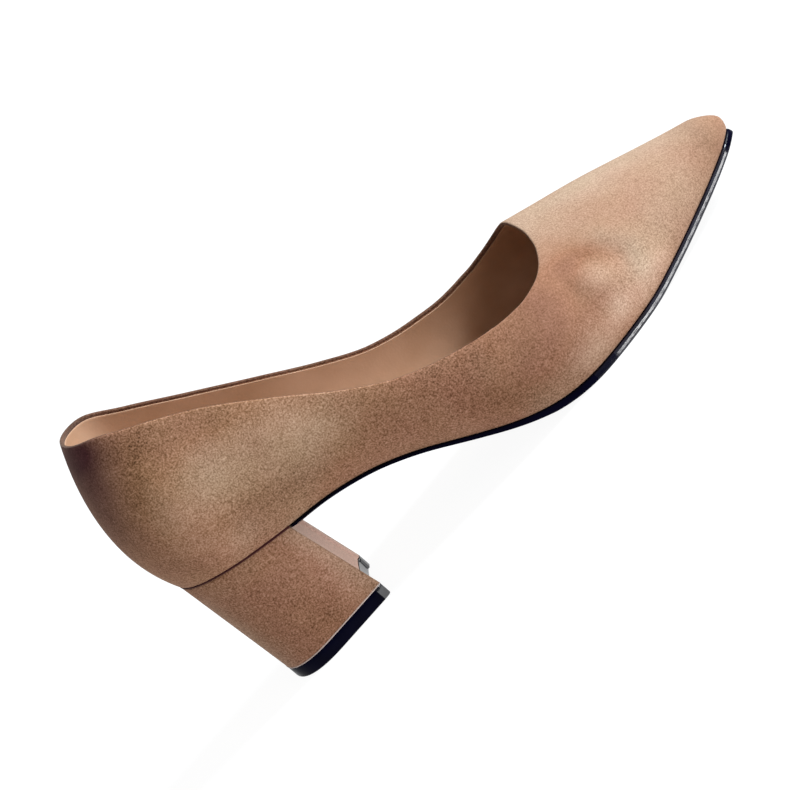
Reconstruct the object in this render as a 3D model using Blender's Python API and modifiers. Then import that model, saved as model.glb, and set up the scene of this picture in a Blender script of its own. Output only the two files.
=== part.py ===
"""A women's pump for the right foot, with a pointed toe and a covered block heel.

The upper is drawn on a last: sections across the foot, each a parabola from the feather
edge out to the widest line, then a quarter superellipse from there up to the ridge.
The LAST table gives the sections and the TOPLINE table gives the mouth of the shoe.
Outsole, insole and heel seat are worked out from the same feather edge.

Frame: X runs from heel to toe, Y to the inner side of the foot and Z up. The origin is on
the floor under the middle of the shoe. All sizes are in millimetres until a mesh is made.
"""

import functools
import math

import bmesh
import bpy
import numpy as np

MM = 0.001

# Driving sizes
LENGTH = 256.0
GAP = 0.3  # between pieces that are glued together
WALL = 1.8  # suede with its lining
LASTING_MARGIN = 8.0  # turned under the last and glued to the sole
SECTION_POWER = 2.15  # 2 is an ellipse, more is squarer

# Ends of the last
HEEL_ROUND = 29.0  # length of the rounded heel end in plan
HEEL_ROUND_POWER = 2.1
HEEL_TUCK = 3.7  # the seat lies this far inside the rearmost line of the counter
HEEL_LEAN = 14.9  # the top of the counter leans in this far
HEEL_LEAN_POWER = 1.9
HEEL_LEAN_REACH = 75.0  # the lean has faded out this far from the back
COUNTER_TOP = 120.5
TOE_ROUND = 9.5
TOE_ROUND_POWER = 2.0
TOE_TUCK = 1.2
TOE_TUCK_REACH = 24.0

# Sole, insole and heel
SOLE_EDGE = 0.8  # the outsole stands out this far past the feather edge
SOLE_EDGE_BEVEL = 0.7
INSOLE_INSET = 2.2
INSOLE_THICK = 2.0
BREAST_STATION = 46.5  # front of the heel where it meets the sole
HEEL_FOOT_BACK = 6.7
HEEL_FOOT_FRONT = 52.7
HEEL_FOOT_HALF_WIDTH = 21.6
HEEL_FOOT_ROUND = 21.0
HEEL_FOOT_POWER = 2.4
BREAST_HOLLOW = 3.2  # the breast is hollow from side to side
BREAST_BORDER = 3.2  # the cover is wrapped this far round onto the breast
BREAST_STEP = 0.6  # and the breast panel lies this much below it
TOP_PIECE_THICK = 5.4
TOP_PIECE_BEVEL = 0.6

# Sections of the last, from the back of the heel to the tip of the toe. Half widths are
# measured from the X axis, heights from the floor.
LAST_COLUMNS = (
    "station", "feather_z", "ridge_z", "ridge_y", "lateral", "medial",
    "lateral_swell", "medial_swell", "swell_rise", "sole",
)
LAST = (
    (0.0, 54.1, 148.9, 0.0, 24.0, 24.0, 5.0, 5.0, 20.5, 2.0),
    (15.0, 51.6, 147.7, 0.0, 24.5, 24.5, 5.0, 5.0, 20.5, 2.0),
    (30.0, 48.3, 144.6, 0.0, 24.3, 24.0, 5.2, 5.5, 20.0, 2.0),
    (47.0, 44.7, 137.6, 0.5, 23.6, 22.2, 5.8, 7.0, 19.0, 2.0),
    (62.0, 42.0, 126.7, 1.0, 23.0, 19.8, 6.5, 8.5, 18.0, 2.0),
    (78.0, 37.3, 112.2, 2.0, 23.2, 18.0, 7.2, 10.0, 17.0, 2.1),
    (95.0, 29.6, 96.3, 3.0, 25.2, 18.4, 7.5, 10.5, 16.0, 2.2),
    (112.0, 19.2, 82.5, 4.0, 28.6, 21.6, 7.0, 9.5, 15.0, 2.3),
    (128.0, 10.2, 72.3, 5.0, 32.3, 26.6, 5.5, 7.5, 14.0, 2.4),
    (138.0, 6.3, 66.9, 5.5, 34.4, 30.4, 4.6, 5.8, 13.4, 2.5),
    (147.0, 4.0, 62.7, 6.0, 35.8, 33.2, 3.7, 4.4, 13.0, 2.5),
    (160.0, 2.8, 57.4, 6.3, 36.4, 35.6, 3.0, 3.2, 12.5, 2.5),
    (173.0, 2.8, 52.6, 6.5, 34.8, 36.2, 2.6, 2.6, 12.0, 2.5),
    (188.0, 2.8, 47.5, 6.3, 30.3, 34.6, 2.3, 2.3, 11.0, 2.5),
    (206.0, 4.8, 41.7, 5.8, 23.4, 29.6, 2.0, 2.0, 9.5, 2.4),
    (224.0, 7.8, 35.0, 5.0, 15.8, 22.6, 1.8, 1.8, 7.5, 2.4),
    (240.0, 10.9, 29.2, 4.2, 8.6, 15.2, 1.5, 1.5, 5.8, 2.4),
    (250.0, 13.2, 26.0, 3.6, 4.0, 10.4, 1.2, 1.2, 4.8, 2.3),
    (256.0, 14.6, 24.2, 3.2, 1.4, 7.4, 1.0, 1.0, 4.2, 2.3),
)

# The mouth on each side, from the throat back to the heel. The throat itself, the first
# point, lies on the ridge.
THROAT_STATION = 177.1
MOUTH_MATCH = 145.0  # behind this station the columns stand upright
TOPLINE_COLUMNS = ("lateral_station", "lateral_z", "medial_station", "medial_z")
TOPLINE = (
    (178.1, 48.7, 175.1, 49.9),
    (177.0, 45.7, 172.4, 48.2),
    (173.4, 42.0, 168.3, 46.5),
    (166.9, 39.4, 162.8, 45.1),
    (157.0, 38.8, 155.2, 44.1),
    (145.0, 40.8, 145.0, 44.2),
    (128.0, 46.0, 128.0, 47.5),
    (112.0, 53.1, 112.0, 53.2),
    (95.4, 64.7, 95.4, 63.7),
    (75.7, 82.3, 75.7, 78.3),
    (56.0, 98.5, 56.0, 92.8),
    (36.2, 110.1, 36.2, 106.4),
    (16.3, 118.1, 16.3, 117.0),
    (0.0, COUNTER_TOP, 0.0, COUNTER_TOP),
)

# How finely the solids are cut
TOE_COLUMNS = 5
VAMP_COLUMNS = 12
QUARTER_COLUMNS = 13
HEEL_COLUMNS = 8
SWELL_ROWS = (0.0, 0.35, 0.7, 1.0)  # shares of the way from feather edge to widest line
WALL_ROWS = 8
SMOOTHING = (-5.0, -2.5, 0.0, 2.5, 5.0)  # the tables are averaged over these stations

LATERAL, MEDIAL = -1, 1
SIDE_NAMES = {LATERAL: "lateral", MEDIAL: "medial"}

SUEDE = ("taupe_suede", (0.295, 0.172, 0.106), 0.95)
LINING = ("tan_lining", (0.36, 0.24, 0.16), 0.7)
BLACK_RUBBER = ("black_rubber", (0.008, 0.008, 0.012), 0.3)


# Curves through tables

def monotone_curve(xs, ys, x):
    """Cubic through the points with no overshoot, at x. The xs rise."""
    xs, ys = np.asarray(xs, float), np.asarray(ys, float)
    x = np.clip(x, xs[0], xs[-1])
    step = np.diff(xs)
    rise = np.diff(ys) / step
    slope = np.concatenate([rise[:1], np.zeros(len(xs) - 2), rise[-1:]])
    same = rise[:-1] * rise[1:] > 0
    before, after = rise[:-1][same], rise[1:][same]
    slope[1:-1][same] = 2 * before * after / (before + after)
    k = np.clip(np.searchsorted(xs, x, side="right") - 1, 0, len(xs) - 2)
    t = (x - xs[k]) / step[k]
    start = (1 + 2 * t) * (1 - t) ** 2 * ys[k] + t * (1 - t) ** 2 * step[k] * slope[k]
    end = t * t * (3 - 2 * t) * ys[k + 1] - t * t * (1 - t) * step[k] * slope[k + 1]
    return float(start + end)


@functools.lru_cache(maxsize=None)
def last_size(name, station):
    """One column of the LAST table at a station, with its corners averaged out."""
    column = LAST_COLUMNS.index(name)
    stations = [row[0] for row in LAST]
    sizes = [row[column] for row in LAST]
    room = min(station, LENGTH - station)
    reach = min(1.0, room / SMOOTHING[-1])
    taps = [monotone_curve(stations, sizes, station + reach * tap) for tap in SMOOTHING]
    return sum(taps) / len(taps)


# The last

def round_end(share, power):
    """1 on the body of the last, falling to 0 at its very end."""
    share = min(max(share, 0.0), 1.0)
    return (1 - (1 - share) ** power) ** (1 / power)


def end_rounding(station):
    heel = round_end(station / HEEL_ROUND, HEEL_ROUND_POWER)
    toe = round_end((LENGTH - station) / TOE_ROUND, TOE_ROUND_POWER)
    return heel * toe


def widest_z(station):
    return last_size("feather_z", station) + last_size("swell_rise", station)


def ridge_height(station):
    """Height of the ridge over the widest line: the toe is rounded down to nothing."""
    toe = round_end((LENGTH - station) / TOE_ROUND, TOE_ROUND_POWER)
    return (last_size("ridge_z", station) - widest_z(station)) * toe


def end_shift(station, z):
    """How far a point moves along X, because neither end of the last is upright."""
    below = max(0.0, (widest_z(station) - z) / last_size("swell_rise", station))
    above = max(0.0, (z - widest_z(0.0)) / (COUNTER_TOP - widest_z(0.0)))
    heel = max(0.0, 1 - station / HEEL_LEAN_REACH) ** 2
    toe = max(0.0, 1 - (LENGTH - station) / TOE_TUCK_REACH) ** 2
    forward = heel * (HEEL_TUCK * below**2 + HEEL_LEAN * above**HEEL_LEAN_POWER)
    return forward - toe * TOE_TUCK * below**2


def half_section(station, side):
    """(y of the feather edge, y of the widest line, y of the ridge) on one side."""
    lateral, medial = last_size("lateral", station), last_size("medial", station)
    middle, half = (medial - lateral) / 2, (medial + lateral) / 2
    swell = last_size(SIDE_NAMES[side] + "_swell", station)
    rounding = end_rounding(station)
    ridge = middle + (last_size("ridge_y", station) - middle) * rounding
    return middle + side * half * rounding, middle + side * (half + swell) * rounding, ridge


def swell_point(station, side, share):
    """A point between the feather edge, share 0, and the widest line, share 1."""
    feather_y, widest_y, _ = half_section(station, side)
    y = feather_y + (widest_y - feather_y) * (2 * share - share**2)
    z = last_size("feather_z", station) + last_size("swell_rise", station) * share
    return station + end_shift(station, z), y, z


def wall_point(station, y):
    """The point of the last over a place in plan, above the widest line."""
    side = LATERAL if y < half_section(station, LATERAL)[2] else MEDIAL
    _, widest_y, ridge_y = half_section(station, side)
    out = min(1.0, abs((y - ridge_y) / (widest_y - ridge_y)))
    z = widest_z(station) + ridge_height(station) * (1 - out**SECTION_POWER) ** (1 / SECTION_POWER)
    return station + end_shift(station, z), y, z


def back_point(z):
    """A point of the line up the back of the heel."""
    return end_shift(0.0, z), 0.0, z


@functools.lru_cache(maxsize=None)
def feather_places():
    """Stations and how far along the shoe their feather edge lies."""
    stations = np.linspace(0.0, LENGTH, 257)
    return stations, [swell_point(float(s), LATERAL, 0.0)[0] for s in stations]


def bottom_z(x):
    """Height of the underside of the last at a place along the shoe."""
    stations, places = feather_places()
    return last_size("feather_z", float(np.interp(x, places, stations)))


def wall_y(station, side, z):
    """How far out the last is at a height above the widest line."""
    _, widest_y, ridge_y = half_section(station, side)
    up = min(max((z - widest_z(station)) / ridge_height(station), 0.0), 1.0)
    return ridge_y + (widest_y - ridge_y) * (1 - up**SECTION_POWER) ** (1 / SECTION_POWER)


# Columns: lines that climb the last from the feather edge to the mouth

def topline(side):
    """Stations and heights of the mouth on one side."""
    station = TOPLINE_COLUMNS.index(SIDE_NAMES[side] + "_station")
    height = TOPLINE_COLUMNS.index(SIDE_NAMES[side] + "_z")
    return [row[station] for row in TOPLINE], [row[height] for row in TOPLINE]


@functools.lru_cache(maxsize=None)
def mouth_curve(side):
    """Lengths along the mouth from the throat back, with the station and y of each point."""
    stations, heights = topline(side)
    ys = [wall_y(station, side, z) for station, z in zip(stations, heights)]
    stations = [THROAT_STATION, *stations]
    ys = [half_section(THROAT_STATION, side)[2], *ys]
    steps = np.hypot(np.diff(stations), np.diff(ys))
    return np.concatenate([[0.0], np.cumsum(steps)]), stations, ys


def mouth_height(station, side):
    """Height of the mouth at a station behind MOUTH_MATCH."""
    stations, heights = topline(side)
    behind = stations.index(MOUTH_MATCH)
    return monotone_curve(stations[:behind - 2:-1], heights[:behind - 2:-1], station)


def mouth_place(k, feather, side):
    """Station and y at which column k meets the mouth."""
    if feather <= MOUTH_MATCH:
        return feather, wall_y(feather, side, mouth_height(feather, side))
    lengths, stations, ys = mouth_curve(side)
    match = lengths[stations.index(MOUTH_MATCH)]
    along = match * k / (TOE_COLUMNS + VAMP_COLUMNS)
    return monotone_curve(lengths, stations, along), monotone_curve(lengths, ys, along)


def column_stations():
    """Stations of the columns at the feather edge, from toe to heel."""
    vamp_start = LENGTH - TOE_ROUND
    stations = []
    for k in range(TOE_COLUMNS):
        turn = math.pi / 2 * k / TOE_COLUMNS
        stations.append(LENGTH - TOE_ROUND * (1 - math.cos(turn)))
    for k in range(VAMP_COLUMNS):
        stations.append(vamp_start + (MOUTH_MATCH - vamp_start) * k / VAMP_COLUMNS)
    for k in range(QUARTER_COLUMNS):
        stations.append(MOUTH_MATCH + (HEEL_ROUND - MOUTH_MATCH) * k / QUARTER_COLUMNS)
    for k in range(HEEL_COLUMNS + 1):
        turn = math.pi / 2 * k / HEEL_COLUMNS
        stations.append(HEEL_ROUND * (1 - math.sin(turn)))
    return stations


def column_points(k, feather, side):
    """Points of one column, from the feather edge up."""
    points = [swell_point(feather, side, share) for share in SWELL_ROWS]
    if feather < 1e-6:
        heights = np.linspace(points[-1][2], COUNTER_TOP, WALL_ROWS + 1)[1:]
        return points + [back_point(float(z)) for z in heights]
    start = np.array([feather, half_section(feather, side)[1]])
    end = np.array(mouth_place(k, feather, side))
    for row in range(1, WALL_ROWS + 1):
        inward = 1 - math.cos(math.pi / 2 * row / WALL_ROWS)
        points.append(wall_point(*(start + (end - start) * inward)))
    return points


def turned_under(point, station):
    """The edge of the lasting margin, inside a point of the feather edge."""
    x, y, _ = point
    axis_x = min(max(x, HEEL_ROUND), LENGTH - 2 * TOE_ROUND)
    axis_y = (last_size("medial", station) - last_size("lateral", station)) / 2
    reach = math.hypot(axis_x - x, axis_y - y)
    share = min(LASTING_MARGIN / reach, 0.55)
    x += (axis_x - x) * share
    return x, y + (axis_y - y) * share, bottom_z(x)


def ring_of(lateral, medial):
    """One closed ring: toe, lateral side, heel, medial side."""
    return list(lateral) + list(medial[-2:0:-1])


def feather_ring():
    """The feather edge as a ring, with the station of each of its points."""
    stations = column_stations()
    sides = {side: [swell_point(s, side, 0.0) for s in stations] for side in (LATERAL, MEDIAL)}
    return np.array(ring_of(sides[LATERAL], sides[MEDIAL])), ring_of(stations, stations)


def offset_in_plan(ring, distance):
    """The ring moved outwards in plan by a distance, or inwards if it is negative."""
    along = np.roll(ring, -1, axis=0) - np.roll(ring, 1, axis=0)
    outward = np.stack([along[:, 1], -along[:, 0], np.zeros(len(ring))], axis=1)
    outward /= np.linalg.norm(outward, axis=1, keepdims=True)
    towards_lateral = ring[len(ring) // 4]
    if np.dot(outward[len(ring) // 4], towards_lateral - ring.mean(axis=0)) < 0:
        outward = -outward
    return ring + outward * distance


def bottom_heights(ring, layer=0.0):
    """Heights along a ring of a layer of this thickness, laid on the bottom of the last."""
    heights = []
    for x in ring[:, 0]:
        slope = (bottom_z(x + 1.0) - bottom_z(x - 1.0)) / 2
        heights.append(bottom_z(x) + layer * math.hypot(1, slope))
    return np.array(heights)


def at_height(ring, heights):
    moved = np.array(ring, float)
    moved[:, 2] = heights
    return moved


# Meshes

def material(name, colour, roughness):
    made = bpy.data.materials.get(name) or bpy.data.materials.new(name)
    made.use_nodes = True
    shader = made.node_tree.nodes["Principled BSDF"]
    shader.inputs["Base Color"].default_value = (*colour, 1.0)
    shader.inputs["Roughness"].default_value = roughness
    shader.inputs["Metallic"].default_value = 0.0
    return made


def ladder_cap(bm, ring, rungs):
    """Closes a ring with rungs between its two sides, and one face over what is left."""
    for k in range(rungs):
        corners = [ring[k], ring[k + 1], ring[-k - 1], ring[-k]]
        bm.faces.new(list(dict.fromkeys(corners)))
    rest = ring[rungs : len(ring) - rungs + 1]
    if len(rest) > 2:
        bm.faces.new(rest)


def loft(name, rings, finish, collection, rungs=None):
    """An object through rings of equal count. With rungs, both end rings are closed."""
    bm = bmesh.new()
    made = []
    for ring in rings:
        made.append([bm.verts.new(((x - LENGTH / 2) * MM, y * MM, z * MM)) for x, y, z in ring])
    for below, above in zip(made, made[1:]):
        for k in range(len(below)):
            n = (k + 1) % len(below)
            bm.faces.new((below[k], below[n], above[n], above[k]))
    if rungs is not None:
        ladder_cap(bm, made[0], rungs)
        ladder_cap(bm, made[-1], rungs)
    bmesh.ops.remove_doubles(bm, verts=bm.verts, dist=1e-6)
    bmesh.ops.recalc_face_normals(bm, faces=bm.faces)
    mesh = bpy.data.meshes.new(name)
    bm.to_mesh(mesh)
    bm.free()
    mesh.shade_smooth()
    mesh.set_sharp_from_angle(angle=math.radians(40))
    mesh.materials.append(material(*finish))
    made_object = bpy.data.objects.new(name, mesh)
    collection.objects.link(made_object)
    return made_object


# The pieces

def build_upper(collection):
    stations = column_stations()
    sides = {}
    for side in (LATERAL, MEDIAL):
        sides[side] = [column_points(k, s, side) for k, s in enumerate(stations)]
    rows = len(sides[LATERAL][0])
    rings = []
    for row in range(rows):
        rings.append(ring_of(*([c[row] for c in sides[side]] for side in (LATERAL, MEDIAL))))
    margin = [turned_under(p, s) for p, s in zip(rings[0], ring_of(stations, stations))]
    upper = loft("upper", [margin, *rings], SUEDE, collection)
    face_outwards(upper.data)
    wall = upper.modifiers.new("wall", "SOLIDIFY")
    wall.thickness = WALL * MM
    wall.offset = -1.0
    wall.use_even_offset = True
    return upper


def face_outwards(mesh):
    """Turns an open shell so that its faces point away from its own middle."""
    middle = np.mean([v.co for v in mesh.vertices], axis=0)
    outwards = sum(
        face.area * np.dot(face.normal, np.array(face.center) - middle) for face in mesh.polygons
    )
    if outwards < 0:
        mesh.flip_normals()


def build_insole(collection):
    ring, _ = feather_ring()
    edge = offset_in_plan(ring, -INSOLE_INSET)
    floor, top = WALL + GAP, WALL + GAP + INSOLE_THICK
    rings = [at_height(edge, bottom_heights(edge, layer)) for layer in (floor, top)]
    return loft("insole", rings, LINING, collection, rungs=len(ring) // 2)


def breast_curve(front, half_lateral, half_medial, step):
    """(x, y) points across the front of the heel, from its medial to its lateral corner."""
    width = half_lateral + half_medial
    middle = (half_medial - half_lateral) / 2
    border = BREAST_BORDER / width * 2
    shares = [1.0, 1.0 - border, 1.0 - border - 0.04, 0.45, 0.0]
    shares += [-share for share in shares[-2::-1]]
    points = []
    for share in shares:
        sunk = step if abs(share) < 1.0 - border - 0.01 else 0.0
        x = front - BREAST_HOLLOW * (1 - share**2) - sunk
        points.append((x, middle + share * width / 2))
    return points


def build_outsole(collection):
    ring, stations = feather_ring()
    edge = offset_in_plan(ring, SOLE_EDGE)
    breast_x, _, end_z = swell_point(BREAST_STATION, LATERAL, 0.0)
    breast_lean = (HEEL_FOOT_FRONT - breast_x) / (end_z - TOP_PIECE_THICK)
    end_x = breast_x + GAP + breast_lean * last_size("sole", BREAST_STATION)
    kept = [k for k in range(len(ring) // 2 + 1) if stations[k] > end_x + 3.0]
    lateral, medial = edge[kept], edge[[-k if k else 0 for k in kept]]
    corners = [abs(half_section(BREAST_STATION, side)[0]) for side in (LATERAL, MEDIAL)]
    curve = breast_curve(end_x, *corners, 0.0)[::-1]
    past_lateral, past_medial = (end_x, curve[0][1] - SOLE_EDGE), (end_x, curve[-1][1] + SOLE_EDGE)
    rear = [(x, y, end_z) for x, y in [past_lateral, *curve, past_medial]]
    outline = np.array(list(lateral) + rear + list(medial[:0:-1]))
    kept_stations = [stations[k] for k in kept]
    stations = kept_stations + [BREAST_STATION] * len(rear) + kept_stations[:0:-1]
    top = bottom_heights(outline) - GAP
    thick = np.array([last_size("sole", s) for s in stations])
    inner = offset_in_plan(outline, -SOLE_EDGE_BEVEL)
    rings = [
        at_height(inner, top - thick),
        at_height(outline, top - thick + SOLE_EDGE_BEVEL),
        at_height(outline, top),
    ]
    return loft("outsole", rings, BLACK_RUBBER, collection, rungs=len(kept) - 1)


def heel_runs():
    """Shares from the back of the heel, 0, to its front corner, 1."""
    count = HEEL_COLUMNS + 4
    return [1 - math.cos(math.pi / 2 * k / count) for k in range(count + 1)]


def heel_seat_ring():
    """The top of the heel: the feather edge of the seat, closed by the breast."""
    runs = [BREAST_STATION * share for share in heel_runs()]
    sides = {}
    for side in (LATERAL, MEDIAL):
        points = [swell_point(s, side, 0.0) for s in runs]
        sides[side] = [(x, y, z - GAP) for x, y, z in points]
    corner_x, corner_y, _ = sides[LATERAL][-1]
    curve = breast_curve(corner_x, -corner_y, sides[MEDIAL][-1][1], BREAST_STEP)
    breast = [(x, y, bottom_z(x) - GAP) for x, y in curve]
    return close_heel_ring(sides, breast)


def heel_foot_ring(z):
    """The foot of the heel, level, at height z."""
    length = HEEL_FOOT_FRONT - HEEL_FOOT_BACK
    sides = {LATERAL: [], MEDIAL: []}
    for share in heel_runs():
        width = HEEL_FOOT_HALF_WIDTH * round_end(share * length / HEEL_FOOT_ROUND, HEEL_FOOT_POWER)
        for side in sides:
            sides[side].append((HEEL_FOOT_BACK + share * length, side * width, z))
    half = HEEL_FOOT_HALF_WIDTH
    breast = [(x, y, z) for x, y in breast_curve(HEEL_FOOT_FRONT, half, half, BREAST_STEP)]
    return close_heel_ring(sides, breast)


def close_heel_ring(sides, breast):
    """Back, medial side, breast, lateral side, as one ring."""
    return np.array(sides[MEDIAL] + breast[1:-1] + sides[LATERAL][:0:-1])


def heel_rungs():
    """Rungs of the heel's caps, which stop behind the hollow of the breast."""
    last = BREAST_STATION - BREAST_HOLLOW - 2.0
    return sum(share * BREAST_STATION < last for share in heel_runs()) - 1


def build_heel(collection):
    seat = heel_seat_ring()
    foot = heel_foot_ring(TOP_PIECE_THICK + GAP)
    levels = (0.0, 0.5, 1.0)
    rings = [foot + (seat - foot) * level for level in levels]
    return loft("heel", rings, SUEDE, collection, rungs=heel_rungs())


def build_top_piece(collection):
    outline = heel_foot_ring(0.0)
    inner = offset_in_plan(outline, -TOP_PIECE_BEVEL)
    rings = [
        at_height(inner, 0.0),
        at_height(outline, TOP_PIECE_BEVEL),
        at_height(outline, TOP_PIECE_THICK),
    ]
    return loft("top_piece", rings, BLACK_RUBBER, collection, rungs=heel_rungs())


def main():
    for old in list(bpy.data.objects):
        bpy.data.objects.remove(old)
    collection = bpy.data.collections.new("low_heel_pump")
    bpy.context.scene.collection.children.link(collection)
    build_upper(collection)
    build_insole(collection)
    build_outsole(collection)
    build_heel(collection)
    build_top_piece(collection)


main()
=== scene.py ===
"""The low heel pump in the studio: suede upper, lining, sock, outsole, covered heel and top piece.

All sizes are in millimetres until a mesh is made. X runs from the back of the heel to the toe,
Y to the inner side of the shoe and Z up from the floor. A station is a distance from the back.
"""

import functools
import math

import bmesh
import bpy
import numpy as np
from mathutils import Matrix, Vector


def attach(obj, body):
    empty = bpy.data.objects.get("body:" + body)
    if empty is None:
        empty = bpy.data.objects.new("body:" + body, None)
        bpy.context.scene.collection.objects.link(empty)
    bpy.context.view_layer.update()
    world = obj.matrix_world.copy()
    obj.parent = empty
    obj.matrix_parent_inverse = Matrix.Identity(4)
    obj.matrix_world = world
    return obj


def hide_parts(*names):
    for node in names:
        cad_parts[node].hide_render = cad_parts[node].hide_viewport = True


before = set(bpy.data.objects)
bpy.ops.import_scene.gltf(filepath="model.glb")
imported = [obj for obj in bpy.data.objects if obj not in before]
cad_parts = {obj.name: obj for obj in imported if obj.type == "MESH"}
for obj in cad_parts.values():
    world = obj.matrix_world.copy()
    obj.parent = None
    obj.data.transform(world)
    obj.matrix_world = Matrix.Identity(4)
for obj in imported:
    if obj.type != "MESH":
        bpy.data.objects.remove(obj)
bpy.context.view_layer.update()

MM = 0.001
TINY = 1e-9  # guards a division against zero
LENGTH = 256.0
GAP = 0.3  # between pieces that are glued together

# The wall of the upper
WALL = 1.8  # suede with its lining
SUEDE_WALL = 1.5
LINING_CLEARANCE = 0.02  # between the suede and the lining
LINING_EXTRA = 0.1  # the lining stands this much further in than the wall
LINING_DROP = 1.6  # the lining stops this far under the top of the folded edge
LASTING_MARGIN = 8.0
LASTING_LIMIT = 0.55  # the most that the margin covers of the way to the shoe's long axis
FEATHER_ROUND = 1.1  # the suede turns under the last on about this radius
FEATHER_LIMIT = 0.2  # the most that this turn takes of the swell above it
MARGIN_REACHES = (LASTING_MARGIN, LASTING_MARGIN / 2, FEATHER_ROUND)  # of the rings under the last

# The last. Above its widest line it is a superellipse of this power. Both ends are rounded in plan
# and tucked in under the widest line, and the counter leans forward.
SECTION_POWER = 2.15
HEEL_ROUND = 29.0
HEEL_ROUND_POWER = 2.1
HEEL_TUCK = 3.7
HEEL_LEAN = 14.9
HEEL_LEAN_POWER = 1.9
HEEL_LEAN_REACH = 75.0
COUNTER_TOP = 120.5
TOE_ROUND = 9.5
TOE_ROUND_POWER = 2.0
TOE_TUCK = 1.2
TOE_TUCK_REACH = 24.0

# The outsole
SOLE_EDGE = 0.8  # how far it stands out from the feather edge
# The trimmed edge of the outsole, from its top down: how far in from the outline in mm, and how
# far down as a share of the thickness. Its face is flat and leans back.
SOLE_EDGE_PROFILE = (
    (1.0, 0.0), (0.86, 0.01), (0.7, 0.05), (0.55, 0.12), (0.42, 0.21), (0.31, 0.31), (0.235, 0.4),
    (0.175, 0.5), (0.115, 0.6), (0.06, 0.68), (0.02, 0.76), (0.0, 0.84), (0.0, 0.93), (0.04, 0.975),
    (0.15, 0.997), (0.4, 1.0),
)
TREAD_INSET = 0.05  # of the tread's outline from the last ring of the edge
POLISHED, MOULDED, DULL, HALF_DULL = range(4)  # slots of the outsole's materials
# The edge is scuffed dull behind the first of these stations and half dull up to the second. Then it
# has kept its polish up to the third, and is half dull again up to the fourth and dull at the tip.
EDGE_WEAR = (158.0, 168.0, 248.5, 250.5)
EDGE_FINISHES = (DULL, HALF_DULL, POLISHED, HALF_DULL, DULL)
# At the waist the outsole is pared from below, so that little of its edge shows at the heel
WAIST_END = 138.0
WAIST_POWER = 0.7
WAIST_EDGE = 0.28  # what is left of the edge at the heel, as a share of the thickness
WAIST_PARED = 4.0  # how far in the paring reaches
REAR_POWER = 4  # along the breast the paring fades from the corners to the middle
REAR_CLEARANCE = 1.5  # from the breast to the first columns in front of it

# The sock
SOCK_FLOOR = WALL + GAP
SOCK_THICK = 2.0
SOCK_TOP = SOCK_FLOOR + SOCK_THICK
SOCK_ROLL = 0.9  # how far its edge is rolled down
SOCK_ROLL_POWER = 14
SOCK_CLEARANCE = 0.45  # from its edge to the wall
SOCK_BASE_INSET = 2.4  # of its underside from the feather edge
SOCK_SHARES = (1.0, 0.985, 0.96, 0.92, 0.86, 0.75, 0.6, 0.4, 0.2, 0.05)  # rings across its top
SOCK_SHORTENING = 0.05  # how much shorter its middle is than its edge

# The heel and its top piece
BREAST_STATION = 46.5
HEEL_BASE_BACK = 6.7
HEEL_BASE_FRONT = 52.7
HEEL_BASE_HALF_WIDTH = 21.6
HEEL_BASE_ROUND = 21.0
HEEL_BASE_POWER = 2.4
HEEL_BASE_EDGE = 0.35  # radius of the lower edge of the cover
HEEL_SEAT_EDGE = 0.9  # and of its upper edge
BREAST_HOLLOW = 3.2
BREAST_BORDER = 3.2  # how far the cover is wrapped round onto the breast
BREAST_STEP = 0.6  # from the wrapped border down to the panel
BREAST_CREASE = 0.9  # width of the crease between the two
CREASE_SHARES = (0.0, 0.3, 0.5, 0.7, 1.0)  # points across the crease
CREASE_DEPTH = 0.9  # how far its middle dips under the slope, as a share of the step
CREASE_SPREAD = 0.22  # of the dip, as a share of the crease's width
BREAST_CORNER_SIDE = 4.6
BREAST_CORNER_FRONT = 1.6
CORNER_SIDE_COLUMNS = 3  # columns of the heel's side that a rounded corner replaces
CORNER_BREAST_COLUMNS = 2  # columns of the breast that it replaces
CAP_CLEARANCE = 3.0  # from the hollow of the breast to the last rung of a cap
TOP_PIECE_THICK = 5.4
TOP_PIECE_ROUND = 0.7
# Rings of the top piece's upper edge: how far in from its outline, and how far under its top
TOP_PIECE_SHOULDER = ((0.0, 0.3), (0.1, 0.08), (0.35, 0.0))
LIFT_SIDE, LIFT_TREAD, LIFT_FRONT = range(3)  # slots of the top piece's materials
LACQUER_STOP = 2  # points of a rounded corner that the lacquered front does not reach
# The bead in the heel seat seam is a painted shadow of the gap
SEAM_RADIUS = 0.46
SEAM_INSET = 0.3
SEAM_DROP = 0.1
# The bead at the foot of the heel's cover is a painted highlight
HIGHLIGHT_BEAD_RADIUS = 0.25
HIGHLIGHT_BEAD_INSET = 0.12

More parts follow.
